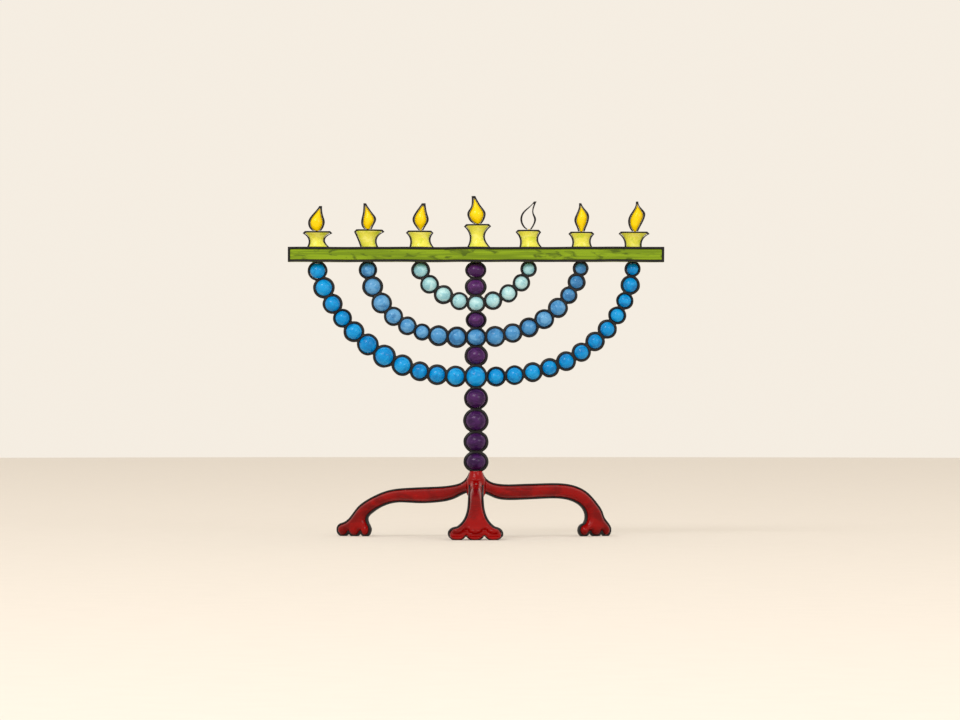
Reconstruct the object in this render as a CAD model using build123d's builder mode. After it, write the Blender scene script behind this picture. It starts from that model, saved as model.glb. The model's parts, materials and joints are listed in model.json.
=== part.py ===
from build123d import *

import os
from collections import namedtuple
from math import atan2, cos, degrees, hypot, pi, radians, sin

# A seven-branched menorah that stands 343 mm high with its flames. Coloured balls sit in black
# steel rings, and the rings are brazed to each other in three arms and a stem. A candle bar lies on
# the seven ring tops, and three legs carry the stem. Millimetres, +Z up, the front faces -Y, and the
# origin is on the table below the stem.

# ---- driving dimensions ----------------------------------------------------------------------
LINE = 2.2  # width of every black strip, seen from the front
RING_DEPTH = 3.2  # the rings, front to back
EDGE_DEPTH = 4.0  # the strips round candles, flames and legs, front to back
CEMENT = 0.1  # gap between a ball or a core and its black strip

BAR_LENGTH, BAR_DEPTH, BAR_HEIGHT = 376.0, 24.0, 15.0
BAR_BOTTOM = 276.0
BAR_TOP = BAR_BOTTOM + BAR_HEIGHT
BAR_EDGE = 2.4  # the square wire let into the bar's front and back edges
RING_SEAT = 1.0  # black left between a top ball and the bar, or a bottom ball and the hub

HUB_TOP, HUB_BOTTOM = 67.0, 39.0
HUB_NECK, HUB_WAIST = 6.6, 9.5  # radii at the top and where the legs join
HUB_SHOULDER = 59.0  # the hub narrows above this height
HUB_FLARE = (7.5, 63.0)  # radius and height of a point on the curve from the shoulder to the neck
HUB_CHAMFER = 5.0  # height of the sloped face at the foot of the hub

Ball = namedtuple("Ball", "x z width height")
Arm = namedtuple("Arm", "top_x crossing out down widths")
Candle = namedtuple("Candle", "x height waist_at left right")
Flame = namedtuple("Flame", "height left right")

# The stem's balls from the hub up: node or group, width, height.
STEM_BALLS = [
    ("stem", 20.0, 17.0),
    ("stem", 20.0, 18.0),
    ("stem", 20.5, 20.0),
    ("stem", 20.0, 19.0),
    ("outer", 19.0, 20.0),
    ("stem", 18.5, 17.0),
    ("middle", 17.0, 16.0),
    ("stem", 16.5, 14.0),
    ("inner", 14.5, 14.0),
    ("stem", 17.0, 15.0),
    ("stem", 17.0, 14.0),
]

# Each half arm follows x = sin(turn) ** out, z = -cos(turn) ** down, from its crossing ball up to the
# bar. The widths are those of its balls from the crossing up. They are hand made, so no two are alike.
OUTER_LEFT = [17, 16, 15, 16.5, 18.5, 17.5, 16, 14.5, 15.5, 16.5, 15.5]
OUTER_RIGHT = [15.5, 15.5, 15, 14.5, 15, 14.5, 14.5, 14.5, 13.5, 13, 14.5, 12]
ARMS = {
    "outer_left": Arm(-158.5, "outer", 0.76, 1.6, OUTER_LEFT),
    "outer_right": Arm(156.5, "outer", 0.77, 1.17, OUTER_RIGHT),
    "middle_left": Arm(-108.0, "middle", 0.62, 1.37, [16.5, 16, 13, 14.5, 15, 16.5, 16, 14]),
    "middle_right": Arm(104.5, "middle", 0.86, 1.31, [16.5, 15, 15, 15.5, 15.5, 13, 13, 11]),
    "inner_left": Arm(-55.5, "inner", 1.04, 1.4, [14, 14.5, 14.5, 14]),
    "inner_right": Arm(52.5, "inner", 1.14, 1.24, [14, 14, 13, 12]),
}

# The candles from left to right, each over the top of its branch. Left and right are the outline's
# distances from the pin at the foot, the waist and the lip. They are pressed by hand, so none is even.
CANDLES = [
    Candle(-158.5, 16.2, 0.42, (-10.7, -9.2, -15.0), (12.0, 7.5, 15.0)),
    Candle(-108.0, 17.6, 0.42, (-7.4, -10.2, -14.0), (10.5, 9.0, 16.8)),
    Candle(-55.5, 16.4, 0.45, (-11.0, -10.5, -14.8), (13.5, 10.2, 13.2)),
    Candle(0.0, 22.8, 0.48, (-9.0, -6.6, -12.4), (14.2, 9.0, 15.2)),
    Candle(52.5, 17.2, 0.48, (-9.2, -8.8, -13.0), (13.6, 9.8, 12.8)),
    Candle(104.5, 15.5, 0.45, (-9.2, -8.6, -12.2), (11.6, 10.2, 13.8)),
    Candle(156.5, 15.4, 0.4, (-7.8, -8.4, -14.0), (9.5, 10.0, 17.2)),
]
LIP_DROP = 2.4  # the lip's thickness at its edge
FINE_LINE = 1.7  # the black strip on candles and flames, seen from the front

# The flames, with their left and right edges at even steps from the foot to the tip.
FLAMES = [
    Flame(24.5, (-5.0, -8.9, -9.1, -6.4, -2.0, 1.6), (3.5, 6.4, 7.1, 5.6, 4.6, 4.6)),
    Flame(26.0, (-4.0, -6.9, -6.6, -5.4, -4.8, -4.6), (4.0, 6.4, 8.1, 5.0, 1.2, -1.8)),
    Flame(27.0, (-2.0, -6.1, -8.0, -6.1, -2.4, 1.4), (3.0, 6.0, 8.3, 7.0, 5.8, 5.2)),
    Flame(28.2, (-2.0, -7.9, -8.6, -5.2, -4.2, -4.4), (5.4, 8.8, 9.4, 5.8, 2.2, -0.6)),
    Flame(27.8, (-2.0, -7.1, -8.1, -6.2, -0.2, 5.4), (3.0, 6.3, 7.4, 5.0, 5.8, 8.2)),
    Flame(28.2, (-2.6, -4.4, -6.1, -4.4, -2.0, -1.6), (4.2, 6.3, 8.3, 8.4, 4.4, 1.0)),
    Flame(29.6, (-0.4, -3.8, -4.2, -1.6, 2.2, 3.2), (5.8, 8.6, 11.4, 12.4, 8.0, 5.8)),
]
CANDLE_DEPTH = 0.92  # a stub's depth front to back, as a share of its width
LOFT_SPARE = 0.2  # a core is made this much over size, and then cut to fit its strip
FLAME_DEPTH = 0.75  # front to back, as a share of the width
LEAST_TIP = 0.45  # half the width of a flame's core at its tip
TIP_LINE = 1.4  # the strip over a flame's tip, as a share of its width up the sides

# Pins and pegs. A candle drops on a pin, and a flame's peg drops in the candle.
STUD_R, STUD_TOP = 1.5, BAR_TOP - 2.5
PIN_HEAD_R, PIN_HEAD_H = 4.5, 5.0
PIN_R, PIN_H = 1.5, 5.5
PEG_R, PEG_H = 0.9, 4.5
PEG_ROOT = 0.5  # how far a peg runs up into its flame
HOLE_PLAY = 0.2
HOLE_SPARE = 0.5  # a pin or peg doesn't reach the end of its hole
FLAME_GAP = 0.3  # air between a flame and its candle

# The legs. The side legs swing back, and the front leg comes straight forward.
SIDE_LEG_TURN = 28.0
LEG_LINE = 1.9  # the black strip round the legs, seen from the front
LEG_THICKNESS = 13.0
LEG_REACH = 84.0  # how far the front leg could come forward
LEG_STUD_R, LEG_STUD_Z = 2.5, 52.0
LEG_STUD_FROM, LEG_STUD_TO = 4.4, 16.0
STEM_STUD_R, STEM_STUD_BOTTOM = 3.0, 31.5
NUT_R, NUT_H = 5.5, 5.0
WASHER_H = 1.5
NUT_ROOM_R = 7.6  # the legs stay this far from the stem's axis below the hub
TOE_LEVEL = 4.0  # the toes part below this height
TOE_RISE = 7.0  # half the height of a toe
FOOT_SINK = 0.7  # depth of toe that is ground off to make a flat foot

# Side legs as seen from the front: distance out from the stem, and height. The upper edge runs from
# the hub to the outer toe and the lower edge from the inner toe to the hub. Toes are (distance, half
# their width).
LEFT_UPPER = [
    (6.2, 66.8), (8.4, 61.5), (13, 56.5), (22, 53), (46, 50.6), (71, 49.2), (91, 45.6), (108, 37.5),
    (119.6, 28.5), (126.4, 19.6), (132, 14.6), (137.6, 11.6), (140.2, 7), (139.6, TOE_LEVEL),
]
LEFT_LOWER = [
    (106.6, TOE_LEVEL), (106.2, 9), (108.4, 14), (109, 18.5), (105.4, 23), (98.5, 28), (86, 33.3),
    (60, 34.2), (36, 35.4), (21, 39.5), (11, 44.5), (6.2, 45.5),
]
LEFT_TOES = [(134.2, 6.6), (122.4, 6.9), (111.4, 5.3)]
RIGHT_UPPER = [
    (6.2, 66.8), (8.2, 61.5), (12.5, 57.2), (22, 54), (45, 53.4), (78, 54), (96, 52.2), (111, 45),
    (121, 34), (127.2, 24.5), (129.8, 18), (133.8, 12.8), (136, 7), (135.4, TOE_LEVEL),
]
RIGHT_LOWER = [
    (103.4, TOE_LEVEL), (103.8, 8.6), (107.8, 13), (110, 18.5), (108.5, 26), (100, 34), (84, 38.2),
    (60, 38.2), (36, 37.3), (20, 39.5), (10, 44), (6.2, 45),
]
RIGHT_TOES = [(131.0, 5.3), (120.8, 6.8), (108.9, 6.0)]

# The front leg, first half its outline as seen from the front, and then its profile from the side.
FRONT_EDGE = [
    (8.2, 62), (7.6, 50), (7.9, 38), (8.9, 29), (12.8, 19.4), (19.2, 13.2), (25.2, 9.4), (27, TOE_LEVEL),
]
FRONT_TOES = [(-18.6, 9.3), (-0.9, 9.6), (17.6, 9.5)]
SIDE_TOP = [
    (5.2, 64), (10, 58), (17, 54), (30, 51), (44, 47), (57, 37), (65, 24), (71, 13), (79, 6), (79.5, -1),
]
SIDE_BOTTOM = [(5.2, 44), (10, 43), (17, 41), (30, 37.5), (43, 33), (51, 24), (55, 13), (57, 4), (60, -1)]
STRIP_TOP = [(5.2, 54.5), (17, 49.5), (30, 46.2), (43.5, 42), (54.5, 32), (60.5, 20), (65.5, 9), (72, -1)]
STRIP_BOTTOM = [(5.2, 50.5), (17, 45.5), (30, 42.2), (42, 38), (50.5, 29), (56.3, 18), (61, 8), (66, -1)]


def moved_in(points, amount):
    """An edge moved sideways, to the right of the way it runs, which is into the leg."""
    moved = []
    for i, (x, z) in enumerate(points):
        (x0, z0), (x1, z1) = points[max(i - 1, 0)], points[min(i + 1, len(points) - 1)]
        dx, dz = x1 - x0, z1 - z0
        moved.append((x + amount * dz / hypot(dx, dz), z - amount * dx / hypot(dx, dz)))
    return moved


def write(node, solids):
    """Writes one node: a single solid, or several alike that share the node."""
    piece = solids[0] if len(solids) == 1 else Compound(children=solids)
    piece.label = node
    export_step(piece, f"parts/{node}.step")


def mirrored(points):
    """The same edge on the other side of the centre line, run the other way."""
    return [(-x, z) for x, z in reversed(points)]


# ---- where the balls are ---------------------------------------------------------------------
def stack_stem():
    """The stem's balls from the hub up, spaced so that the top one sits under the bar."""
    heights = [height for _, _, height in STEM_BALLS]
    first = HUB_TOP + RING_SEAT + heights[0] / 2
    last = BAR_BOTTOM - RING_SEAT - heights[-1] / 2
    touching = sum(heights) - (heights[0] + heights[-1]) / 2
    gap = (last - first - touching) / (len(heights) - 1)
    balls, z = [], first
    for i, (group, width, height) in enumerate(STEM_BALLS):
        if i:
            z += (heights[i - 1] + height) / 2 + gap
        balls.append((group, Ball(0.0, z, width, height)))
    return balls


def bisect(low, high, too_far):
    """The value between low and high where too_far turns true."""
    for _ in range(50):
        middle = (low + high) / 2
        low, high = (low, middle) if too_far(middle) else (middle, high)
    return (low + high) / 2


def string_arm(arm, crossing):
    """The balls of a half arm from its crossing ball up, at even gaps along its curve."""
    top_z = BAR_BOTTOM - RING_SEAT - arm.widths[-1] / 2

    def on_curve(turn):
        return arm.top_x * sin(turn) ** arm.out, top_z - (top_z - crossing.z) * cos(turn) ** arm.down

    def string(gap):
        turn, half, places = 0.0, crossing.width / 2, []
        for width in arm.widths:
            reach, (x0, z0) = half + gap + width / 2, on_curve(turn)
            turn = bisect(turn, pi / 2, lambda t: hypot(on_curve(t)[0] - x0, on_curve(t)[1] - z0) > reach)
            half = width / 2
            places.append(on_curve(turn))
        return places, turn

    gap = bisect(0.5, 5.0, lambda g: string(g)[1] > pi / 2 - 1e-4)
    places, _ = string(gap)
    return [Ball(x, z, width, width) for (x, z), width in zip(places, arm.widths)], gap


# ---- rings and balls -------------------------------------------------------------------------
def outer_reach(ball, angle):
    """From a ball's centre to the outside of its ring, in the direction of angle."""
    a, b = ball.width / 2 + LINE, ball.height / 2 + LINE
    return a * b / hypot(b * cos(angle), a * sin(angle))


def make_ring(ball, neighbours, flat_top=None, flat_bottom=None):
    """A flat steel ring round a ball, filed flat where it meets its neighbours."""
    far = 30.0
    with BuildPart() as ring:
        with BuildSketch(Plane.XZ):
            with Locations((ball.x, ball.z)):
                Ellipse(ball.width / 2 + LINE, ball.height / 2 + LINE)
                Ellipse(ball.width / 2, ball.height / 2, mode=Mode.SUBTRACT)
            for other in neighbours:
                dx, dz = other.x - ball.x, other.z - ball.z
                angle = atan2(dz, dx)
                own, theirs = outer_reach(ball, angle), outer_reach(other, angle)
                middle = hypot(dx, dz) * own / (own + theirs) + far / 2
                with Locations((ball.x + middle * cos(angle), ball.z + middle * sin(angle))):
                    Rectangle(far, far, rotation=degrees(angle), mode=Mode.SUBTRACT)
            for level, side in ((flat_top, 1), (flat_bottom, -1)):
                if level is not None:
                    with Locations((ball.x, level + side * far / 2)):
                        Rectangle(far, far, mode=Mode.SUBTRACT)
        extrude(amount=RING_DEPTH / 2, both=True)
    return ring.part


def make_ball(ball):
    """A glazed ball, or a flattened one on the stem, that just fits its ring."""
    a, b = ball.width / 2 - CEMENT, ball.height / 2 - CEMENT
    with BuildPart() as glazed:
        if a == b:
            Sphere(a)
        else:
            with BuildSketch(Plane.XZ):
                with BuildLine():
                    turns = [pi * step / 12 for step in range(-5, 6)]
                    rim = [(a * cos(turn), b * sin(turn)) for turn in turns]
                    Spline((0, -b), *rim, (0, b), tangents=((1, 0), (-1, 0)))
                    Line((0, b), (0, -b))
                make_face()
            revolve(axis=Axis.Z)
    return glazed.part.moved(Location((ball.x, 0, ball.z)))


# ---- candle bar ------------------------------------------------------------------------------
def make_bar_edging(side):
    """The black wire round the front (-1) or back (1) edge of the bar."""
    face = side * BAR_DEPTH / 2
    with BuildPart() as edging:
        with BuildSketch(Plane.XZ.offset(-face + side * BAR_EDGE / 2)):
            with Locations((0, BAR_BOTTOM + BAR_HEIGHT / 2)):
                Rectangle(BAR_LENGTH, BAR_HEIGHT)
                Rectangle(BAR_LENGTH - 2 * BAR_EDGE, BAR_HEIGHT - 2 * BAR_EDGE, mode=Mode.SUBTRACT)
        extrude(amount=BAR_EDGE / 2, both=True)
    return edging.part


def make_bar(edgings):
    """The candle bar, rebated for its edging and counterbored for the candle pins."""
    with BuildPart() as bar:
        with Locations((0, 0, BAR_BOTTOM)):
            Box(BAR_LENGTH, BAR_DEPTH, BAR_HEIGHT, align=(Align.CENTER, Align.CENTER, Align.MIN))
        with Locations(*[(candle.x, 0, BAR_TOP) for candle in CANDLES]):
            CounterBoreHole(STUD_R + HOLE_PLAY, PIN_HEAD_R + HOLE_PLAY, PIN_HEAD_H)
        add(edgings, mode=Mode.SUBTRACT)
    return bar.part


def make_stud(x):
    """The threaded stud on top of a branch, which goes up through the bar."""
    with BuildPart() as stud:
        with Locations((x, 0, BAR_BOTTOM)):
            Cylinder(STUD_R, STUD_TOP - BAR_BOTTOM, align=(Align.CENTER, Align.CENTER, Align.MIN))
    return stud.part


def make_pin(x):
    """A round nut with a candle pin on it. It holds the bar down on the branch's stud."""
    with BuildPart() as pin:
        with Locations((x, 0, BAR_TOP - PIN_HEAD_H)):
            Cylinder(PIN_HEAD_R, PIN_HEAD_H, align=(Align.CENTER, Align.CENTER, Align.MIN))
            Cylinder(STUD_R, STUD_TOP - BAR_TOP + PIN_HEAD_H, mode=Mode.SUBTRACT,
                     align=(Align.CENTER, Align.CENTER, Align.MIN))
        with Locations((x, 0, BAR_TOP)):
            Cone(PIN_R, PIN_R / 3, PIN_H, align=(Align.CENTER, Align.CENTER, Align.MIN))
    return pin.part


# ---- candles ---------------------------------------------------------------------------------
def peg_place(flame):
    """How far a flame's peg stands from its candle's pin, so that it is under the flame's foot."""
    return (flame.left[0] + flame.right[0]) / 2


def candle_outline(candle, inset):
    """A stub's front outline in its own plane, or that outline moved in by a strip's width."""
    top = candle.height - inset
    levels = (0, candle.height * candle.waist_at, candle.height - LIP_DROP)
    left = [(x + inset, z) for x, z in zip(candle.left, levels)]
    right = [(x - inset, z) for x, z in zip(candle.right, levels)]
    with BuildSketch() as outline:
        with BuildLine():
            Spline(*right)
            Polyline(right[-1], (right[-1][0] - LIP_DROP, top), (left[-1][0] + LIP_DROP, top), left[-1])
            Spline(*left)
            Line(left[0], right[0])
        make_face()
    return outline.sketch


def make_candle(candle, flame):
    """A stub with a hole for its pin below and one for its flame's peg above."""
    levels = (0, candle.height * candle.waist_at, candle.height - FINE_LINE)
    with BuildPart() as stub:
        for z, left, right in zip(levels, candle.left, candle.right):
            half = (right - left) / 2 - FINE_LINE + LOFT_SPARE
            with BuildSketch(Plane.XY.offset(z)):
                with Locations(((left + right) / 2, 0)):
                    Ellipse(half, half * CANDLE_DEPTH)
        loft()
        with BuildSketch(Plane.XZ):
            add(candle_outline(candle, FINE_LINE + CEMENT))
        extrude(amount=candle.height, both=True, mode=Mode.INTERSECT)
        Cylinder(PIN_R + HOLE_PLAY, PIN_H + HOLE_SPARE, mode=Mode.SUBTRACT,
                 align=(Align.CENTER, Align.CENTER, Align.MIN))
        with Locations((peg_place(flame), 0, candle.height)):
            Cylinder(PEG_R + HOLE_PLAY, PEG_H + HOLE_SPARE, mode=Mode.SUBTRACT,
                     align=(Align.CENTER, Align.CENTER, Align.MAX))
    return stub.part.moved(Location((candle.x, 0, BAR_TOP)))


def make_candle_edging(candle, flame):
    """The black strip up one side of a stub, over its top and down the other."""
    with BuildPart() as strip:
        with BuildSketch(Plane.XZ):
            add(candle_outline(candle, 0))
            add(candle_outline(candle, FINE_LINE), mode=Mode.SUBTRACT)
        extrude(amount=EDGE_DEPTH / 2, both=True)
        with Locations((peg_place(flame), 0, candle.height)):
            Cylinder(PEG_R + HOLE_PLAY, 4 * FINE_LINE, mode=Mode.SUBTRACT)
    return strip.part.moved(Location((candle.x, 0, BAR_TOP)))


# ---- flames ----------------------------------------------------------------------------------
def edge_at(edge, share):
    """Where a flame's left or right edge is at a share of its height."""
    steps = len(edge) - 1
    below = min(int(share * steps), steps - 1)
    return edge[below] + (edge[below + 1] - edge[below]) * (share * steps - below)


def flame_levels(flame, inset):
    """Each level's height, left and right edge, for the outline or for the core inside the strip."""
    top, steps, levels = 1 - inset * TIP_LINE / flame.height, len(flame.left) - 1, []
    for step in range(steps + 1):
        share = top * step / steps
        left, right = edge_at(flame.left, share), edge_at(flame.right, share)
        centre, half = (left + right) / 2, max((right - left) / 2 - inset, LEAST_TIP)
        levels.append((share * flame.height, centre - half, centre + half))
    return levels


def flame_outline(flame, inset):
    """A flame's front outline in its own plane."""
    right = [(edge, z) for z, _, edge in flame_levels(flame, inset)]
    left = [(edge, z) for z, edge, _ in flame_levels(flame, inset)]
    with BuildSketch() as outline:
        with BuildLine():
            Spline(*right)
            Line(right[-1], left[-1])
            Spline(*left)
            Line(left[0], right[0])
        make_face()
    return outline.sketch


def make_flame_edging(flame):
    """The black strip up both sides of a flame and over its tip."""
    with BuildPart() as strip:
        with BuildSketch(Plane.XZ):
            add(flame_outline(flame, 0))
            add(flame_outline(flame, FINE_LINE), mode=Mode.SUBTRACT)
        extrude(amount=EDGE_DEPTH / 2, both=True)
    return strip.part


def make_flame(flame):
    """The flame's core, full in the middle and let into its strip, with the peg that holds it."""
    with BuildPart() as core:
        for z, left, right in flame_levels(flame, FINE_LINE):
            half = (right - left) / 2 + LOFT_SPARE
            with BuildSketch(Plane.XY.offset(z)):
                with Locations(((left + right) / 2, 0)):
                    Ellipse(half, half * FLAME_DEPTH)
        loft()
        with BuildSketch(Plane.XZ):
            add(flame_outline(flame, FINE_LINE + CEMENT))
        extrude(amount=flame.height, both=True, mode=Mode.INTERSECT)
        with Locations((peg_place(flame), 0, PEG_ROOT)):
            Cylinder(PEG_R, PEG_H + PEG_ROOT, align=(Align.CENTER, Align.CENTER, Align.MAX))
    return core.part


# ---- base ------------------------------------------------------------------------------------
def make_hub_blank():
    """The hub as it comes off the lathe, before drilling."""
    with BuildPart() as blank:
        with BuildSketch(Plane.XZ):
            with BuildLine():
                low = (HUB_WAIST, HUB_BOTTOM + HUB_CHAMFER)
                Polyline((0, HUB_TOP), (0, HUB_BOTTOM), (HUB_NECK, HUB_BOTTOM), low)
                Line(low, (HUB_WAIST, HUB_SHOULDER))
                Spline((HUB_WAIST, HUB_SHOULDER), HUB_FLARE, (HUB_NECK, HUB_TOP))
                Line((HUB_NECK, HUB_TOP), (0, HUB_TOP))
            make_face()
        revolve(axis=Axis.Z)
    return blank.part


def make_hub(blank, studs):
    """The turned hub that the three legs and the stem fasten to."""
    with BuildPart() as hub:
        add(blank)
        Cylinder(STEM_STUD_R + HOLE_PLAY, 4 * HUB_TOP, mode=Mode.SUBTRACT)
        add(studs, mode=Mode.SUBTRACT)
    return hub.part


def side_leg_face(upper, lower, toes, inset):
    """A side leg's outline in its own plane, stretched because that plane is turned back."""
    stretch = 1 / cos(radians(SIDE_LEG_TURN))
    upper = [(x * stretch, z) for x, z in moved_in(upper, inset)]
    lower = [(x * stretch, z) for x, z in moved_in(lower, inset)]
    upper[-1] = (upper[-1][0], TOE_LEVEL + inset)
    lower[0] = (lower[0][0], TOE_LEVEL + inset)
    with BuildSketch() as face:
        with BuildLine():
            Spline(*upper)
            Line(upper[-1], lower[0])
            Spline(*lower)
            Line(lower[-1], upper[0])
        make_face()
        for x, half in toes:
            with Locations((x * stretch, TOE_RISE - FOOT_SINK)):
                Ellipse((half - inset) * stretch, TOE_RISE - inset)
    return face.sketch


def front_leg_face(inset):
    """The front leg's outline as seen from the front."""
    edge = moved_in(FRONT_EDGE, inset)
    edge[-1] = (edge[-1][0], TOE_LEVEL + inset)
    other_edge = mirrored(edge)
    with BuildSketch() as face:
        with BuildLine():
            Spline(*edge)
            Line(edge[-1], other_edge[0])
            Spline(*other_edge)
            Line(other_edge[-1], edge[0])
        make_face()
        for x, half in FRONT_TOES:
            with Locations((x, TOE_RISE - FOOT_SINK)):
                Ellipse(half - inset, TOE_RISE - inset)
    return face.sketch


def band_between(face, core):
    """The black strip's face, between a leg's outline and its core."""
    with BuildSketch() as band:
        add(face)
        add(core, mode=Mode.SUBTRACT)
    return band.sketch


def bent_slab(lower, upper):
    """A wide block with the front leg's bend, between two lines given as (distance forward, height)."""
    low = [(-forward, z) for forward, z in lower]
    high = [(-forward, z) for forward, z in upper]
    with BuildPart() as slab:
        with BuildSketch(Plane.YZ):
            with BuildLine():
                Spline(*low)
                Line(low[-1], high[-1])
                Spline(*high)
                Line(high[0], low[0])
            make_face()
        extrude(amount=2 * FRONT_EDGE[-1][0], both=True)
    return slab.part


def fit_leg(piece, blank, studs):
    """A leg piece cut off at the table, coped to the hub and drilled for its stud."""
    room = 4 * LEG_REACH
    with BuildPart() as fitted:
        add(piece)
        Box(room, room, room, align=(Align.CENTER, Align.CENTER, Align.MAX), mode=Mode.SUBTRACT)
        add(blank, mode=Mode.SUBTRACT)
        with Locations((0, 0, HUB_BOTTOM)):
            Cylinder(NUT_ROOM_R, HUB_BOTTOM, mode=Mode.SUBTRACT,
                     align=(Align.CENTER, Align.CENTER, Align.MAX))
        add(studs, mode=Mode.SUBTRACT)
    return fitted.part


def make_side_piece(face, depth, plane):
    """A side leg's core or strip, of even depth in the leg's upright plane."""
    with BuildPart() as plate:
        with BuildSketch(plane):
            add(face)
        extrude(amount=depth / 2, both=True)
    return plate.part


def make_front_piece(face, lower, upper):
    """The front leg's core or strip: its front outline run back through its side outline."""
    with BuildPart() as piece:
        with BuildSketch(Plane.XZ):
            add(face)
        extrude(amount=LEG_REACH)
        add(bent_slab(lower, upper), mode=Mode.INTERSECT)
    return piece.part


def make_leg_studs():
    """The three studs that join the legs to the hub."""
    studs = []
    for turn in (-90, SIDE_LEG_TURN, 180 - SIDE_LEG_TURN):
        outward = Vector(cos(radians(turn)), sin(radians(turn)), 0)
        start = outward * LEG_STUD_FROM + Vector(0, 0, LEG_STUD_Z)
        with BuildPart() as stud:
            with BuildSketch(Plane(origin=start, z_dir=outward)):
                Circle(LEG_STUD_R)
            extrude(amount=LEG_STUD_TO - LEG_STUD_FROM)
        studs.append(stud.part)
    return studs


def make_stem_stud():
    """The threaded stud below the stem's bottom ring, which goes down through the hub."""
    with BuildPart() as stud:
        with Locations((0, 0, HUB_TOP)):
            Cylinder(STEM_STUD_R, HUB_TOP - STEM_STUD_BOTTOM, align=(Align.CENTER, Align.CENTER, Align.MAX))
    return stud.part


def make_washer():
    """The washer between the hub and its nut."""
    with BuildPart() as washer:
        with Locations((0, 0, HUB_BOTTOM)):
            Cylinder(NUT_R, WASHER_H, align=(Align.CENTER, Align.CENTER, Align.MAX))
        Cylinder(STEM_STUD_R + HOLE_PLAY, 4 * HUB_BOTTOM, mode=Mode.SUBTRACT)
    return washer.part


def make_nut():
    """The hexagon nut that pulls the stem down on the hub."""
    with BuildPart() as nut:
        with BuildSketch(Plane.XY.offset(HUB_BOTTOM - WASHER_H - NUT_H)):
            RegularPolygon(NUT_R, 6)
            Circle(STEM_STUD_R, mode=Mode.SUBTRACT)
        extrude(amount=NUT_H)
    return nut.part


# ---- build and write -------------------------------------------------------------------------
def build_base():
    """The hub, its three legs with their black strips, and the fasteners."""
    studs = make_leg_studs()
    blank = make_hub_blank()
    write("base_hub", [make_hub(blank, studs)])
    write("leg_studs", studs)
    write("stem_stud", [make_stem_stud()])
    write("base_washer", [make_washer()])
    write("base_nut", [make_nut()])
    turn = radians(SIDE_LEG_TURN)
    for side, sign, outline in (
        ("left", -1, (LEFT_UPPER, LEFT_LOWER, LEFT_TOES)),
        ("right", 1, (RIGHT_UPPER, RIGHT_LOWER, RIGHT_TOES)),
    ):
        outward = Vector(sign * cos(turn), sin(turn), 0)
        plane = Plane(origin=(0, 0, 0), x_dir=outward, z_dir=outward.cross(Vector(0, 0, 1)))
        core_face = side_leg_face(*outline, LEG_LINE)
        band = band_between(side_leg_face(*outline, 0), core_face)
        core = make_side_piece(core_face, LEG_THICKNESS, plane)
        strip = make_side_piece(band, EDGE_DEPTH, plane)
        write(f"{side}_leg", [fit_leg(core, blank, studs)])
        write(f"{side}_leg_edging", fit_leg(strip, blank, studs).solids())
    core_face = front_leg_face(LEG_LINE)
    band = band_between(front_leg_face(0), core_face)
    core = make_front_piece(core_face, SIDE_BOTTOM, SIDE_TOP)
    strip = make_front_piece(band, STRIP_BOTTOM, STRIP_TOP)
    write("front_leg", [fit_leg(core, blank, studs)])
    write("front_leg_edging", fit_leg(strip, blank, studs).solids())


def build_stem_and_arms():
    """The stem and the three arms: glazed balls, and the rings that hold them."""
    stack = stack_stem()
    crossings = {group: ball for group, ball in stack if group != "stem"}
    strings = {}
    for name, arm in ARMS.items():
        strings[name], gap = string_arm(arm, crossings[arm.crossing])
        print(f"{name}: {len(arm.widths)} balls, gaps of {gap:.2f} mm")
    stem_rings = []
    for i, (group, ball) in enumerate(stack):
        beside = [other for _, other in stack[max(i - 1, 0):i] + stack[i + 1:i + 2]]
        beside += [strings[name][0] for name, arm in ARMS.items() if arm.crossing == group]
        flat_top = BAR_BOTTOM if i == len(stack) - 1 else None
        flat_bottom = HUB_TOP if i == 0 else None
        stem_rings.append(make_ring(ball, beside, flat_top, flat_bottom))
    write("stem_rings", stem_rings)
    write("stem_balls", [make_ball(ball) for group, ball in stack if group == "stem"])
    for group, ball in crossings.items():
        write(f"{group}_cross_ball", [make_ball(ball)])
    for name, string in strings.items():
        chain = [crossings[ARMS[name].crossing]] + string
        rings = []
        for i, ball in enumerate(chain[1:], start=1):
            flat_top = BAR_BOTTOM if i == len(chain) - 1 else None
            rings.append(make_ring(ball, chain[i - 1:i] + chain[i + 1:i + 2], flat_top))
        write(f"{name}_rings", rings)
        write(f"{name}_balls", [make_ball(ball) for ball in string])


def build_bar():
    """The candle bar with its edging, the studs it sits over and the pins that hold it."""
    edgings = [make_bar_edging(side) for side in (-1, 1)]
    write("bar_edging", edgings)
    write("candle_bar", [make_bar(edgings)])
    write("bar_studs", [make_stud(candle.x) for candle in CANDLES])
    write("candle_pins", [make_pin(candle.x) for candle in CANDLES])


def build_candles():
    """Seven candles and the flame that plugs into each."""
    for number, (candle, flame) in enumerate(zip(CANDLES, FLAMES), start=1):
        write(f"candle_{number}", [make_candle(candle, flame)])
        write(f"candle_{number}_edging", make_candle_edging(candle, flame).solids())
        strip = make_flame_edging(flame)
        on_candle = Location((candle.x, 0, BAR_TOP + candle.height + FLAME_GAP))
        write(f"flame_{number}", [make_flame(flame).moved(on_candle)])
        write(f"flame_{number}_edging", strip.moved(on_candle).solids())


os.makedirs("parts", exist_ok=True)
build_base()
build_stem_and_arms()
build_bar()
build_candles()
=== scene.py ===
# %% [markdown]
# # A menorah of ringed balls, with seven lift-off candles
# The whole object is built over a frame that a CAD program packed: every glazed ball, steel ring, leg
# and candle already has its place and size there. This script keeps those places and gives each piece
# the form and the finish of a hand-made one.
# The frame could be shown as it is, with new paint. That would look machined, with knife-sharp edges.
# So each visible piece is made again over its frame part, a little uneven, and then painted.

# %% Load the frame
import json
from math import radians, sqrt

import bmesh
import bpy
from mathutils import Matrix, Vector, noise
from mathutils.bvhtree import BVHTree


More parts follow.
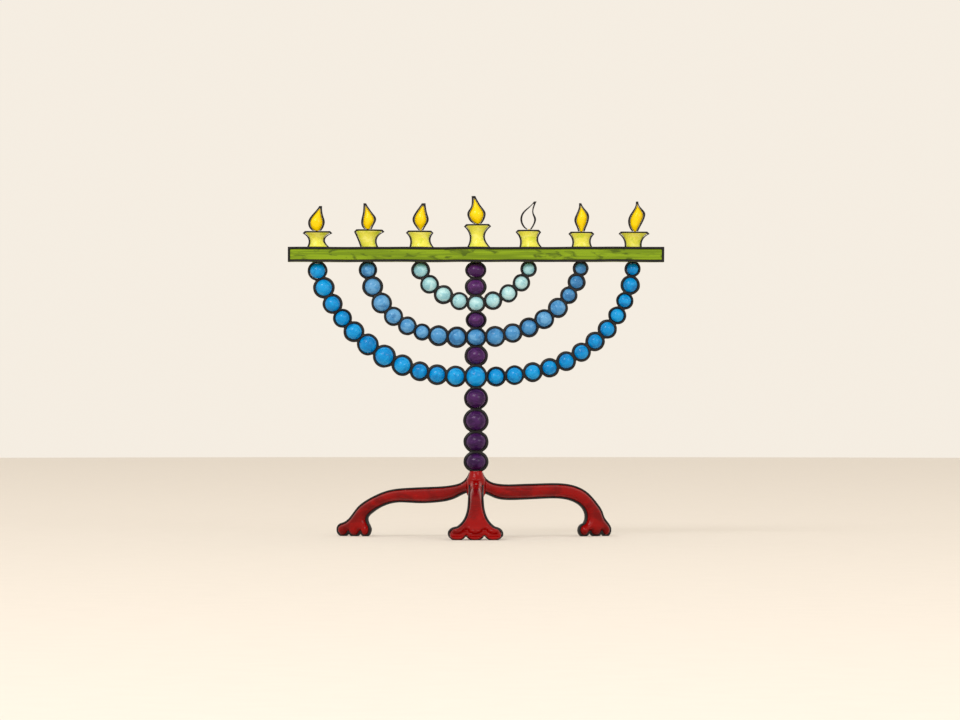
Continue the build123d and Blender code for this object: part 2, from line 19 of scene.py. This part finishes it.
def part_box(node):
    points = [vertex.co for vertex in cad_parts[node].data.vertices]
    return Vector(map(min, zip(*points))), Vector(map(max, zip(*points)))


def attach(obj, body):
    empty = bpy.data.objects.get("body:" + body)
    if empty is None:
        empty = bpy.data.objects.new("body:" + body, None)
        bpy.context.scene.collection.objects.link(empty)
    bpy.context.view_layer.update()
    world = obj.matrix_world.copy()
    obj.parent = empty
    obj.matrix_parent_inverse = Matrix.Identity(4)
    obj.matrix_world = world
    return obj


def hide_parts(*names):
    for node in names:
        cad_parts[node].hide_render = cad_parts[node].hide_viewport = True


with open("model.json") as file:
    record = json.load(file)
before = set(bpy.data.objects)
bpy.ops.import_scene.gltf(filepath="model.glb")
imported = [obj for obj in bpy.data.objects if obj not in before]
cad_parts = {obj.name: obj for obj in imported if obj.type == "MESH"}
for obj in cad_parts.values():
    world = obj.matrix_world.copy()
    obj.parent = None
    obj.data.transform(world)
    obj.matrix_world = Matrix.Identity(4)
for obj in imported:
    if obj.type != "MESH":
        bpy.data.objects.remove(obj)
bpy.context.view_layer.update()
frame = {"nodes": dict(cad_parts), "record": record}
MM = 0.001
BODY_OF = {node: body for body, nodes in frame["record"]["behaviour"]["bodies"].items() for node in nodes}

# %% [markdown]
# ## Number wires
# A shader is a graph of nodes, and its arithmetic is easier to read as sums than as boxes. `Wire` holds
# one output socket. Adding, subtracting, multiplying or dividing wires adds the Math node and gives back
# its output. `Graph.node` makes every other node: settings come first, because some of them change
# which sockets the node has.

# %% Wires and graphs
class Wire:
    """One output socket, with arithmetic."""

    def __init__(self, graph, socket):
        self.graph, self.socket = graph, socket

    def _math(self, operation, first, second):
        kind = "ShaderNodeMath"
        return self.graph.node(kind, {"operation": operation}, {0: first, 1: second})

    def __add__(self, other):
        return self._math("ADD", self, other)

    def __sub__(self, other):
        return self._math("SUBTRACT", self, other)

    def __rsub__(self, other):
        return self._math("SUBTRACT", other, self)

    def __mul__(self, other):
        return self._math("MULTIPLY", self, other)

    def __truediv__(self, other):
        return self._math("DIVIDE", self, other)

    def __rtruediv__(self, other):
        return self._math("DIVIDE", other, self)

    def __abs__(self):
        return self._math("ABSOLUTE", self, 0.0)

    __radd__, __rmul__ = __add__, __mul__


class Graph:
    """A node tree with one way to add a node."""

    def __init__(self, tree):
        self.tree = tree

    def node(self, kind, settings, sockets, output=0):
        made = self.tree.nodes.new(kind)
        for name, value in settings.items():
            setattr(made, name, value)
        for key, value in sockets.items():
            socket = made.inputs[key]
            if isinstance(value, Wire):
                self.tree.links.new(value.socket, socket)
            else:
                socket.default_value = value
        return Wire(self, made.outputs[output]) if len(made.outputs) else made


# %% [markdown]
# ## Paint mixing
# All the finishes here are blends of a few tones by soft patterns. Three short helpers cover them: a
# colour named by the red, green and blue that a paint chart gives, a blend of two colours, and a noise
# pattern stretched to a size in millimetres, so that each pattern is as large as on the real piece.

# %% Paint helpers
def chart(red, green, blue):
    """A paint chart's colour, 0 to 255, as the linear colour that a shader wants."""
    def linear(value):
        share = value / 255
        return share / 12.92 if share <= 0.04045 else ((share + 0.055) / 1.055) ** 2.4
    return (linear(red), linear(green), linear(blue), 1.0)


class Paint(Graph):
    """A material being mixed."""

    def __init__(self, name):
        self.material = bpy.data.materials.new(name)
        self.material.use_nodes = True
        super().__init__(self.material.node_tree)
        self.shader = self.tree.nodes["Principled BSDF"]
        self.place = self.node("ShaderNodeTexCoord", {}, {}, "Object")

    def blend(self, share, first, second):
        """The first colour where share is 0, the second where it is 1."""
        return self.node("ShaderNodeMix", {"data_type": "RGBA"}, {0: share, 6: first, 7: second}, 2)

    def pattern(self, size, stretch=(1, 1, 1), detail=2.0, twist=0.0, shift=0.0):
        """Soft noise from 0 to 1 whose patches are about size millimetres across."""
        scale = [1 / (size * MM * s) for s in stretch]
        moved = self.node("ShaderNodeMapping", {}, {0: self.place, 1: (shift, shift, shift), 3: scale})
        return self.node("ShaderNodeTexNoise", {}, {"Vector": moved, "Scale": 1.0, "Detail": detail,
                                                    "Distortion": twist})

    def between(self, value, low, high):
        """0 where value is below low, 1 above high, and smooth between."""
        settings = {"interpolation_type": "SMOOTHSTEP"}
        return self.node("ShaderNodeMapRange", settings, {0: value, 1: low, 2: high, 3: 0.0, 4: 1.0})

    def depth(self):
        """The distance in front of or behind the object's middle plane, in millimetres."""
        return abs(self.node("ShaderNodeSeparateXYZ", {}, {0: self.place}, "Y")) / MM

    def height(self):
        """The height above the table, in millimetres."""
        return self.node("ShaderNodeSeparateXYZ", {}, {0: self.place}, "Z") / MM

    def raised(self, height, distance, strength=1.0):
        """A bumpy surface: height from 0 to 1 stands for distance millimetres."""
        sockets = {"Height": height, "Distance": distance * MM, "Strength": strength}
        bump = self.node("ShaderNodeBump", {}, sockets)
        self.tree.links.new(bump.socket, self.shader.inputs["Normal"])

    def finish(self, colour, roughness, **fixed):
        """Joins colour and roughness to the shader and sets its plain values."""
        self.tree.links.new(colour.socket, self.shader.inputs["Base Color"])
        self.tree.links.new(roughness.socket, self.shader.inputs["Roughness"])
        for name, value in fixed.items():
            self.shader.inputs[name.replace("_", " ")].default_value = value
        return self.material


print("paint helpers ready")

# %% [markdown]
# ## Black steel
# The rings and strips are mild steel, blackened and lacquered. It isn't a dead black: forge scale leaves
# it slightly blue in places and brown in others, and the lacquer is thicker here than there. One noise
# gives the colour, a finer one the gloss, and a third the hammered surface.

# %% Black steel
def black_steel():
    paint = Paint("black_steel")
    scale = paint.between(paint.pattern(9, detail=4), 0.35, 0.7)
    colour = paint.blend(scale, chart(20, 19, 21), chart(34, 31, 30))
    speck = paint.between(paint.pattern(0.8, detail=1, shift=4), 0.66, 0.72)
    colour = paint.blend(speck * 0.5, colour, chart(74, 66, 60))
    rough = paint.pattern(3, detail=3, shift=2) * 0.22 + 0.3
    paint.raised(paint.pattern(3.2, detail=2, shift=7) + paint.pattern(0.5, shift=1) * 0.15, 0.25)
    shine = {"Metallic": 0.3, "Coat_Weight": 0.1, "Coat_Roughness": 0.3, "Specular_IOR_Level": 0.25}
    return paint.finish(colour, rough, **shine)


# %% [markdown]
# ## Glazes
# Each ball is dipped, then brushed again with a stronger mix, so its colour runs from thin and pale to
# thick and deep in broad patches, with a few brush marks. Glaze creeps away from the crown and pools
# along the ring. The patch pattern could be an image. Noise on object coordinates needs none, and no
# two balls come out alike. A tone stored on each ball makes some a shade lighter or darker.

# %% Glazes
def glaze(name, pale, main, deep, patch=7.0, marks=0.5, pool=0.3):
    paint = Paint(name)
    tone = paint.node("ShaderNodeAttribute", {"attribute_name": "tone"}, {}, "Fac")
    patches = paint.pattern(patch, stretch=(1.5, 1.0, 0.8), detail=3, twist=0.9)
    colour = paint.blend(paint.between(patches + tone * 0.1, 0.46, 0.62), main, pale)
    dark = paint.between(paint.pattern(patch * 1.2, detail=2, twist=0.6, shift=3) - tone * 0.08, 0.52, 0.68)
    colour = paint.blend(dark * 0.8, colour, deep)
    stroke = paint.pattern(patch * 0.22, stretch=(5.0, 1.2, 1.0), detail=2, twist=1.6, shift=9)
    colour = paint.blend(paint.between(stroke, 0.56, 0.72) * marks, colour, pale)
    pooled = 1 - paint.between(paint.depth(), 1.4, 3.4)
    colour = paint.blend(pooled * pool, colour, deep)
    speck = paint.between(paint.pattern(0.55, detail=0, shift=5), 0.76, 0.8)
    colour = paint.blend(speck * 0.35, colour, deep)
    rough = paint.pattern(patch * 0.7, detail=2, shift=6) * 0.16 + 0.14
    paint.raised(patches * 0.6 + stroke * 0.25 + paint.pattern(1.2, shift=8) * 0.15, 0.3)
    return paint.finish(colour, rough, Coat_Weight=0.14, Coat_Roughness=0.07, Specular_IOR_Level=0.15)


# %% [markdown]
# ## Plum glaze
# The stem's glaze gets darker from the bar down to the hub.
# The place on the stem gives that share, so the recipe takes the stem's two ends from the frame.

# %% Plum glaze
def plum_glaze(low, high):
    paint = Paint("purple_glaze")
    up = paint.between(paint.height(), low, high)
    patches = paint.pattern(8, stretch=(1.5, 1.0, 0.8), detail=3, twist=0.9)
    main = paint.blend(up, chart(60, 22, 78), chart(86, 40, 102))
    deep = paint.blend(up, chart(44, 14, 60), chart(64, 28, 78))
    colour = paint.blend(paint.between(patches, 0.42, 0.62), deep, main)
    stroke = paint.pattern(1.8, stretch=(5.0, 1.2, 1.0), detail=2, twist=1.6, shift=9)
    colour = paint.blend(paint.between(stroke, 0.56, 0.72) * 0.35, colour, chart(104, 60, 122))
    rough = paint.pattern(5, detail=2, shift=6) * 0.16 + 0.14
    paint.raised(patches * 0.6 + stroke * 0.25 + paint.pattern(1.2, shift=8) * 0.15, 0.3)
    return paint.finish(colour, rough, Coat_Weight=0.14, Coat_Roughness=0.08, Specular_IOR_Level=0.12)


# %% [markdown]
# ## Painted wood
# The bar is a planed lath, painted green with a flat brush drawn from end to end. The bristles leave
# long streaks, and the yellow ground shows along the edges where the brush ran thin. A noise stretched
# forty times along the bar makes the streaks, and the height on the bar's face brings in the yellow.

# %% Painted wood
def green_wood(low, high):
    paint = Paint("green_wood")
    streak = paint.pattern(1.6, stretch=(36, 1.4, 1), detail=4, twist=0.3)
    broad = paint.pattern(5, stretch=(14, 1.5, 1), detail=2, shift=4)
    colour = paint.blend(paint.between(streak, 0.38, 0.62), chart(104, 130, 6), chart(128, 156, 14))
    blotch = paint.pattern(7, stretch=(3.0, 1.2, 0.9), detail=4, twist=1.1, shift=11)
    dark = paint.between(blotch + (streak - 0.5) * 0.25, 0.52, 0.64)
    colour = paint.blend(dark * 0.85, colour, chart(66, 86, 4))
    middle, half = (low + high) / 2 / MM, (high - low) / 2 / MM
    from_middle = abs(paint.height() - middle) / half
    yellow = paint.between(from_middle + (streak - 0.5) * 0.7, 0.5, 0.9)
    colour = paint.blend(yellow * 0.45, colour, chart(150, 168, 22))
    rough = broad * 0.2 + 0.26
    paint.raised(streak * 0.7 + paint.pattern(0.5, stretch=(30, 1, 1), shift=2) * 0.3, 0.3)
    return paint.finish(colour, rough, Coat_Weight=0.1, Coat_Roughness=0.18, Specular_IOR_Level=0.18)


# %% [markdown]
# ## Red enamel
# The base is cast iron with vitreous enamel fused on it. It is painted brighter on top of the hub, a
# painted highlight where light falls from above, and is nearly maroon at the paws, with darker clouds
# between.

# %% Red enamel
def red_enamel(top):
    paint = Paint("red_enamel")
    clouds = paint.pattern(16, stretch=(1.8, 1.4, 1), detail=3, twist=0.8)
    colour = paint.blend(paint.between(clouds, 0.38, 0.62), chart(112, 0, 0), chart(138, 1, 0))
    streak = paint.pattern(2.4, stretch=(7, 3, 1), detail=3, twist=1.2, shift=5)
    colour = paint.blend(paint.between(streak, 0.56, 0.7) * 0.5, colour, chart(160, 4, 2))
    # painted highlight: the top of the hub is painted a brighter red, as if lit from above
    painted_top_light = paint.between(paint.height() + clouds * 6, top - 8, top + 3)
    colour = paint.blend(painted_top_light, colour, chart(148, 0, 2))
    rough = paint.pattern(6, detail=2, shift=2) * 0.14 + 0.13
    paint.raised(clouds * 0.5 + paint.pattern(1.5, detail=1, shift=8) * 0.2 + streak * 0.2, 0.5)
    return paint.finish(colour, rough, Coat_Weight=0.12, Coat_Roughness=0.08, Specular_IOR_Level=0.12)


# %% [markdown]
# ## Plain steel
# Studs, nut, washer and pins are turned steel with fine lathe lines round them. They stay as the frame
# has them, because a machined part should look machined.

# %% Plain steel
def plain_steel():
    paint = Paint("plain_steel")
    lines = paint.pattern(0.25, stretch=(12, 12, 1), detail=1)
    colour = paint.blend(lines, chart(140, 141, 145), chart(186, 187, 190))
    rough = paint.pattern(2, detail=2, shift=3) * 0.2 + 0.28
    paint.raised(lines, 0.04)
    return paint.finish(colour, rough, Metallic=1.0)


# %% Mix the paints
bar_low, bar_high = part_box("candle_bar")
_, hub_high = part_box("base_hub")
MID_BLUE_TONES = chart(98, 160, 208), chart(68, 138, 194), chart(44, 104, 158)
PALE_BLUE_TONES = chart(184, 222, 226), chart(158, 208, 216), chart(120, 178, 192)
CANDLE_TONES = chart(236, 230, 112), chart(228, 222, 80), chart(196, 208, 46)
FLAME_TONES = chart(242, 208, 8), chart(238, 202, 0), chart(230, 192, 0)
FINISHES = {
    "black_steel": black_steel(),
    "plain_steel": plain_steel(),
    "green_wood": green_wood(bar_low[2], bar_high[2]),
    "red_enamel": red_enamel(hub_high[2] / MM),
    "purple_glaze": plum_glaze(hub_high[2] / MM, bar_low[2] / MM),
    "blue_glaze": glaze("blue_glaze", chart(20, 152, 218), chart(0, 136, 206), chart(0, 110, 178)),
    "mid_blue_glaze": glaze("mid_blue_glaze", *MID_BLUE_TONES),
    "pale_blue_glaze": glaze("pale_blue_glaze", *PALE_BLUE_TONES),
    "candle_glaze": glaze("candle_glaze", *CANDLE_TONES, 6.0, 0.3, 0.1),
    "flame_glaze": glaze("flame_glaze", *FLAME_TONES, 8.0, 0.3, 0.0),
}
print(len(FINISHES), "finishes mixed")

# %% [markdown]
# ## Reading the frame
# A frame node's mesh is loose triangles. A merged copy of it can be measured and reshaped. `islands`
# splits a group of separate solids and gives each one's centre and size, which is all that a ball or a
# ring needs.

# %% Frame helpers
def merged(node):
    """A frame node's mesh as one connected bmesh."""
    shell = bmesh.new()
    shell.from_mesh(frame["nodes"][node].data)
    bmesh.ops.remove_doubles(shell, verts=shell.verts, dist=0.002 * MM)
    return shell


def islands(node):
    """Centre and size of each separate solid in a node."""
    shell, found, seen = merged(node), [], set()
    for start in shell.verts:
        if start in seen:
            continue
        pile, group = [start], []
        seen.add(start)
        while pile:
            vert = pile.pop()
            group.append(vert.co)
            for edge in vert.link_edges:
                other = edge.other_vert(vert)
                if other not in seen:
                    seen.add(other)
                    pile.append(other)
        low = Vector([min(co[i] for co in group) for i in range(3)])
        high = Vector([max(co[i] for co in group) for i in range(3)])
        found.append(((low + high) / 2, high - low))
    shell.free()
    return found


def show(mesh, name, nodes, slot):
    """A finished mesh as a piece that stands for its frame nodes."""
    piece = bpy.data.objects.new(name, mesh)
    bpy.context.collection.objects.link(piece)
    mesh.materials.clear()
    mesh.materials.append(FINISHES[slot])
    mesh.shade_smooth()
    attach(piece, BODY_OF[nodes[0]])
    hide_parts(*nodes)
    return piece


# %% [markdown]
# ## A made-by-hand field
# Nothing hand-bent is quite straight. One slow noise moves every point of every piece by up to a few
# tenths of a millimetre. Because it depends on place alone, pieces that touch move together and still
# fit. It fades out at the table, so the paws stay flat.

# %% Hand wobble
WOBBLE, WOBBLE_SIZE = 0.5 * MM, 34 * MM


def wobbled(place):
    """A place moved by the hand's unevenness."""
    push = noise.noise_vector(place / WOBBLE_SIZE) * WOBBLE
    push.y *= 0.5
    push.z *= min(1.0, place.z / (20 * MM))
    return place + push


print("wobble at the bar's end:", (wobbled(Vector(bar_high)) - Vector(bar_high)) / MM, "mm")

# %% [markdown]
# ## Balls and rings from points
# There are many balls, each with its own size, and each sits in its own ring. That is work for Geometry
# Nodes: one point per ball carries its size and tone, an instance of one ball is scaled to it, and the
# instances are made real at the end. A ball could be copied in Python too, but then its wobble and
# count would be out of reach of a slider.

# %% A tree with named inputs
def new_tree(name, **inputs):
    """A Geometry Nodes tree with mesh in, mesh out and named number inputs."""
    tree = bpy.data.node_groups.new(name, "GeometryNodeTree")
    tree.interface.new_socket("Geometry", in_out="INPUT", socket_type="NodeSocketGeometry")
    for label, value in inputs.items():
        kind = "NodeSocketInt" if isinstance(value, int) else "NodeSocketFloat"
        tree.interface.new_socket(label, in_out="INPUT", socket_type=kind).default_value = value
    tree.interface.new_socket("Material", in_out="INPUT", socket_type="NodeSocketMaterial")
    tree.interface.new_socket("Geometry", in_out="OUTPUT", socket_type="NodeSocketGeometry")
    graph = Graph(tree)
    group = tree.nodes.new("NodeGroupInput")
    wires = {socket.name: Wire(graph, socket) for socket in group.outputs if socket.name}
    return graph, wires


def close_tree(graph, geometry, material):
    """Ends a tree: instances made real, and painted."""
    real = graph.node("GeometryNodeRealizeInstances", {}, {0: geometry})
    painted = graph.node("GeometryNodeSetMaterial", {}, {"Geometry": real, "Material": material})
    end = graph.tree.nodes.new("NodeGroupOutput")
    graph.tree.links.new(painted.socket, end.inputs[0])
    return graph.tree


def grown(points, tree, finish, **values):
    """The plain mesh that a tree makes of points given as (place, size, tone)."""
    mesh = bpy.data.meshes.new("points")
    mesh.from_pydata([place for place, _, _ in points], [], [])
    mesh.attributes.new("size", "FLOAT_VECTOR", "POINT")
    mesh.attributes.new("tone", "FLOAT", "POINT")
    for i, (_, size, tone) in enumerate(points):
        mesh.attributes["size"].data[i].vector = size
        mesh.attributes["tone"].data[i].value = tone
    holder = bpy.data.objects.new("holder", mesh)
    bpy.context.collection.objects.link(holder)
    modifier = holder.modifiers.new("grow", "NODES")
    modifier.node_group = tree
    values["Material"] = finish
    for item in tree.interface.items_tree:
        if item.in_out == "INPUT" and item.name in values:
            modifier[item.identifier] = values[item.name]
    made = bpy.data.meshes.new_from_object(holder.evaluated_get(bpy.context.evaluated_depsgraph_get()))
    bpy.data.objects.remove(holder)
    return made


# %% The ball tree
def ball_tree():
    graph, wires = new_tree("throw_balls", **{"Roundness": 5, "Unevenness": 0.25 * MM, "Swell": 8 * MM})
    ball = graph.node("GeometryNodeMeshIcoSphere", {}, {"Radius": 0.5, "Subdivisions": wires["Roundness"]})
    size = graph.node("GeometryNodeInputNamedAttribute", {"data_type": "FLOAT_VECTOR"}, {"Name": "size"})
    placed = graph.node("GeometryNodeInstanceOnPoints", {},
                        {"Points": wires["Geometry"], "Instance": ball, "Scale": size})
    real = graph.node("GeometryNodeRealizeInstances", {}, {0: placed})
    lumps = graph.node("ShaderNodeTexNoise", {}, {"Scale": 1 / wires["Swell"], "Detail": 0.0})
    lift = (lumps - 0.5) * wires["Unevenness"] * 2
    normal = graph.node("GeometryNodeInputNormal", {}, {})
    push = graph.node("ShaderNodeVectorMath", {"operation": "SCALE"}, {0: normal, "Scale": lift})
    uneven = graph.node("GeometryNodeSetPosition", {}, {"Geometry": real, "Offset": push})
    smooth = graph.node("GeometryNodeSetShadeSmooth", {}, {0: uneven})
    return close_tree(graph, smooth, wires["Material"])


# %% [markdown]
# ## The ring tree
# A ring is a circle swept with an oval section. The circle is scaled to its ball before the sweep, so
# that the section keeps its thickness on every ring. A slow noise bends the circle slightly out of true.

# %% The ring tree
def ring_tree():
    graph, wires = new_tree("bend_rings", **{"Width": 2.4 * MM, "Depth": 3.4 * MM, "Bend": 0.2 * MM})
    circle = graph.node("GeometryNodeCurvePrimitiveCircle", {}, {"Resolution": 56, "Radius": 0.5})
    upright = graph.node("GeometryNodeTransform", {}, {"Geometry": circle, "Rotation": (radians(90), 0, 0)})
    size = graph.node("GeometryNodeInputNamedAttribute", {"data_type": "FLOAT_VECTOR"}, {"Name": "size"})
    placed = graph.node("GeometryNodeInstanceOnPoints", {},
                        {"Points": wires["Geometry"], "Instance": upright, "Scale": size})
    real = graph.node("GeometryNodeRealizeInstances", {}, {0: placed})
    waver = graph.node("ShaderNodeTexNoise", {}, {"Scale": 140.0, "Detail": 1.0}, "Color")
    centred = graph.node("ShaderNodeVectorMath", {"operation": "SUBTRACT"}, {0: waver, 1: (0.5, 0.5, 0.5)})
    scaled = {0: centred, "Scale": wires["Bend"] * 4}
    push = graph.node("ShaderNodeVectorMath", {"operation": "SCALE"}, scaled)
    bent = graph.node("GeometryNodeSetPosition", {}, {"Geometry": real, "Offset": push})
    section = graph.node("GeometryNodeCurvePrimitiveCircle", {}, {"Resolution": 14, "Radius": 0.5})
    shape = graph.node("ShaderNodeCombineXYZ", {}, {0: wires["Width"], 1: wires["Depth"], 2: 1.0})
    oval = graph.node("GeometryNodeTransform", {}, {"Geometry": section, "Scale": shape})
    swept = graph.node("GeometryNodeCurveToMesh", {}, {"Curve": bent, "Profile Curve": oval})
    return close_tree(graph, swept, wires["Material"])


# %% [markdown]
# ## Stringing the menorah
# The frame's groups give the balls in order. A ball's frame solid is a hair smaller than its ring, and
# the ring's mean line runs half a strip outside the ball. Where two rings meet, the smith's braze runs
# into the corner. A voxel remesh of the whole chain of rings, smoothed afterwards, melts them together
# in just that way.

# %% Balls and rings
STRIP = 2.2 * MM
GROUPS = {
    "stem": ("stem_balls", "purple_glaze"),
    "outer_cross": ("outer_cross_ball", "blue_glaze"),
    "middle_cross": ("middle_cross_ball", "mid_blue_glaze"),
    "inner_cross": ("inner_cross_ball", "pale_blue_glaze"),
    "outer_left": ("outer_left_balls", "blue_glaze"),
    "outer_right": ("outer_right_balls", "blue_glaze"),
    "middle_left": ("middle_left_balls", "mid_blue_glaze"),
    "middle_right": ("middle_right_balls", "mid_blue_glaze"),
    "inner_left": ("inner_left_balls", "pale_blue_glaze"),
    "inner_right": ("inner_right_balls", "pale_blue_glaze"),
}
balls_of = {group: islands(node) for group, (node, _) in GROUPS.items()}
throw, bend = ball_tree(), ring_tree()
for group, (node, slot) in GROUPS.items():
    points = [(wobbled(centre), size, noise.cell(centre * 1000)) for centre, size in balls_of[group]]
    made = grown(points, throw, FINISHES[slot])
    show(made, f"glazed_{group}", [node], slot)
print(sum(len(found) for found in balls_of.values()), "balls thrown")


# %% Brazed rings
def remeshed(mesh, voxel, passes):
    """A mesh rebuilt as one even skin of voxel-sized faces and smoothed."""
    holder = bpy.data.objects.new("holder", mesh)
    bpy.context.collection.objects.link(holder)
    skin = holder.modifiers.new("skin", "REMESH")
    skin.mode, skin.voxel_size, skin.adaptivity = "VOXEL", voxel, 0.0
    soft = holder.modifiers.new("soft", "SMOOTH")
    soft.factor, soft.iterations = 0.5, passes
    made = bpy.data.meshes.new_from_object(holder.evaluated_get(bpy.context.evaluated_depsgraph_get()))
    bpy.data.objects.remove(holder)
    return made


RINGS = {
    "stem_rings": ("stem", "outer_cross", "middle_cross", "inner_cross"),
    **{f"{side}_rings": (side,) for side in list(GROUPS)[4:]},
}
for node, groups in RINGS.items():
    points = []
    for group in groups:
        for centre, size in balls_of[group]:
            mean = Vector((size.x + STRIP, 1.0, size.z + STRIP))
            points.append((wobbled(centre), mean, 0.0))
    swept = grown(points, bend, FINISHES["black_steel"])
    ring = show(remeshed(swept, 0.36 * MM, 3), f"brazed_{node}", [node], "black_steel")
    print(node, len(ring.data.polygons), "faces, depth", round(ring.dimensions.y / MM, 2), "mm")

# %% [markdown]
# ## Softened castings
# The bar, candles and strips have the right shape in the frame, but their edges are knife sharp. The
# same skin-and-smooth step rounds them, as filing and glaze do, and the hand's wobble goes on last.

# %% Soften
def shaken(mesh):
    """Moves every vertex by the hand's wobble."""
    for vert in mesh.vertices:
        vert.co = wobbled(vert.co)
    return mesh


def softened(node, voxel, passes):
    """A rounded, slightly uneven copy of a frame node's mesh."""
    shell = merged(node)
    mesh = bpy.data.meshes.new(node)
    shell.to_mesh(mesh)
    shell.free()
    return shaken(remeshed(mesh, voxel * MM, passes))


show(softened("candle_bar", 0.8, 3), "painted_bar", ["candle_bar"], "green_wood")
show(softened("bar_edging", 0.5, 4), "bar_wire", ["bar_edging"], "black_steel")
show(softened("base_hub", 0.5, 3), "enamelled_hub", ["base_hub"], "red_enamel")
for side in ("left", "right", "front"):
    show(softened(f"{side}_leg_edging", 0.45, 4), f"{side}_leg_wire", [f"{side}_leg_edging"], "black_steel")
for number in range(1, 8):
    node = f"candle_{number}"
    show(softened(node, 0.35, 4), f"glazed_{node}", [node], "candle_glaze")
    for kind in ("candle", "flame"):
        node = f"{kind}_{number}_edging"
        show(softened(node, 0.3, 4), f"{kind}_wire_{number}", [node], "black_steel")
print("bar, strips and candles softened")

# %% [markdown]
# ## Swelling forms
# Legs and flames are full in the middle and thin out towards their strips, like a cushion. Their frame
# solids are flat-sided. `swollen` takes each point towards the piece's middle surface by a circle's
# curve: none where the strip is far away, all the way where it is near.

# %% Swell
def swollen(node, strip, to_middle, reach, voxel, least, passes=4):
    """A frame node made round towards its strip. reach is where it comes to full thickness."""
    rim_shell = merged(strip)
    rim = BVHTree.FromBMesh(rim_shell)
    shell = merged(node)
    mesh = bpy.data.meshes.new(node)
    shell.to_mesh(mesh)
    mesh = remeshed(mesh, voxel * MM, 1)
    for vert in mesh.vertices:
        middle = to_middle(vert.co)
        gap = min(rim.find_nearest(middle)[3] / (reach * MM), 1.0)
        full = max(sqrt(1 - (1 - gap) ** 2), least)
        vert.co = middle + (vert.co - middle) * full
    rim_shell.free()
    shell.free()
    return shaken(remeshed(mesh, voxel * MM, passes))


def upright_plane(node):
    """The middle plane of a side leg, from its strip: a function that drops a point onto it."""
    strip = merged(node)
    far = [vert.co for vert in strip.verts]
    outward = Vector((sum(co.x for co in far), sum(co.y for co in far), 0)).normalized()
    strip.free()
    across = Vector((-outward.y, outward.x, 0))
    return lambda place: place - across * place.dot(across)


for side in ("left", "right"):
    strip = f"{side}_leg_edging"
    leg = swollen(f"{side}_leg", strip, upright_plane(strip), 5.0, 0.8, 0.4)
    show(leg, f"enamelled_{side}_leg", [f"{side}_leg"], "red_enamel")

# The front leg's middle line, seen from the side: (forward, height) from the hub to the toes.
FRONT_LINE = [(5, 52.5), (17, 47.5), (30, 44.2), (42.8, 40), (52.5, 30.5), (58.4, 19), (63, 8.5), (69, -1)]


def on_front_line(place):
    """The nearest point of the front leg's middle surface."""
    best = None
    spots = [Vector((-forward * MM, height * MM)) for forward, height in FRONT_LINE]
    flat = place.yz
    for start, end in zip(spots, spots[1:]):
        along = end - start
        share = max(0.0, min(1.0, (flat - start).dot(along) / along.length_squared))
        spot = start + along * share
        if best is None or (flat - spot).length < (flat - best).length:
            best = spot
    return Vector((place.x, best.x, best.y))


def on_upright(place):
    """The nearest point of the menorah's own middle plane."""
    return Vector((place.x, 0, place.z))


front = swollen("front_leg", "front_leg_edging", on_front_line, 3.5, 0.8, 0.55)
show(front, "enamelled_front_leg", ["front_leg"], "red_enamel")
for number in range(1, 8):
    node = f"flame_{number}"
    body = swollen(node, f"{node}_edging", on_upright, 4.0, 0.25, 0.3, 1)
    show(body, f"glazed_{node}", [node], "flame_glaze")
print("legs and flames swollen")

# %% Turned steel
for node in ("bar_studs", "candle_pins", "leg_studs", "stem_stud", "base_washer", "base_nut"):
    fastener = frame["nodes"][node].data
    fastener.materials.clear()
    fastener.materials.append(FINISHES["plain_steel"])
print("fasteners polished")

# %% [markdown]
# ## Table, light and camera
# The table is a wide round of cream paper. A wall behind it would hide the back when someone walks
# round, so the bright sky is the background instead, and the paper is mixed to meet it softly. Two
# large soft lights give the glaze its highlights. The camera looks straight at the front from far away,
# because from close by the near paw would look larger and lower than the others.

# %% Table
def paper_table(radius, corners):
    """A flat round of paper, centred under the stem."""
    paper = Paint("cream_paper")
    grain = paper.pattern(30, detail=4)
    colour = paper.blend(grain, chart(224, 217, 208), chart(229, 222, 213))
    paper.finish(colour, grain * 0.1 + 0.8, Coat_Weight=0.0, Specular_IOR_Level=0.1)
    table = bmesh.new()
    bmesh.ops.create_circle(table, cap_ends=True, radius=radius, segments=corners)
    mesh = bpy.data.meshes.new("table")
    table.to_mesh(mesh)
    table.free()
    mesh.materials.append(paper.material)
    sheet = bpy.data.objects.new("table", mesh)
    bpy.context.collection.objects.link(sheet)


paper_table(5.0, 96)
print("table laid")


# %% Light and camera
def soft_light(name, place, size, power):
    lamp = bpy.data.lights.new(name, "AREA")
    lamp.shape, lamp.size, lamp.size_y, lamp.energy = "RECTANGLE", size, size * 0.7, power
    holder = bpy.data.objects.new(name, lamp)
    holder.location = place
    aim = Vector((0, 0, 0.17)) - holder.location
    holder.rotation_euler = aim.to_track_quat("-Z", "Y").to_euler()
    bpy.context.collection.objects.link(holder)


soft_light("key", (-4.0, -7.0, 6.0), 5.0, 380)
soft_light("fill", (4.6, -6.4, 3.0), 4.4, 130)
sky = bpy.data.worlds.new("sky")
sky.use_nodes = True
sky.node_tree.nodes["Background"].inputs[0].default_value = chart(252, 244, 232)
sky.node_tree.nodes["Background"].inputs[1].default_value = 0.94
bpy.context.scene.world = sky
bpy.context.scene.view_settings.view_transform = "Standard"

DISTANCE, VIEW_WIDTH = 6.0, 0.96
lens = bpy.data.cameras.new("camera")
lens.lens = lens.sensor_width * DISTANCE / VIEW_WIDTH
lens.clip_end = 50
camera = bpy.data.objects.new("camera", lens)
camera.location = (0.004, -DISTANCE, 0.178)
camera.rotation_euler = (radians(90), 0, 0)
bpy.context.collection.objects.link(camera)
bpy.context.scene.camera = camera
print("camera lens", round(lens.lens), "mm")
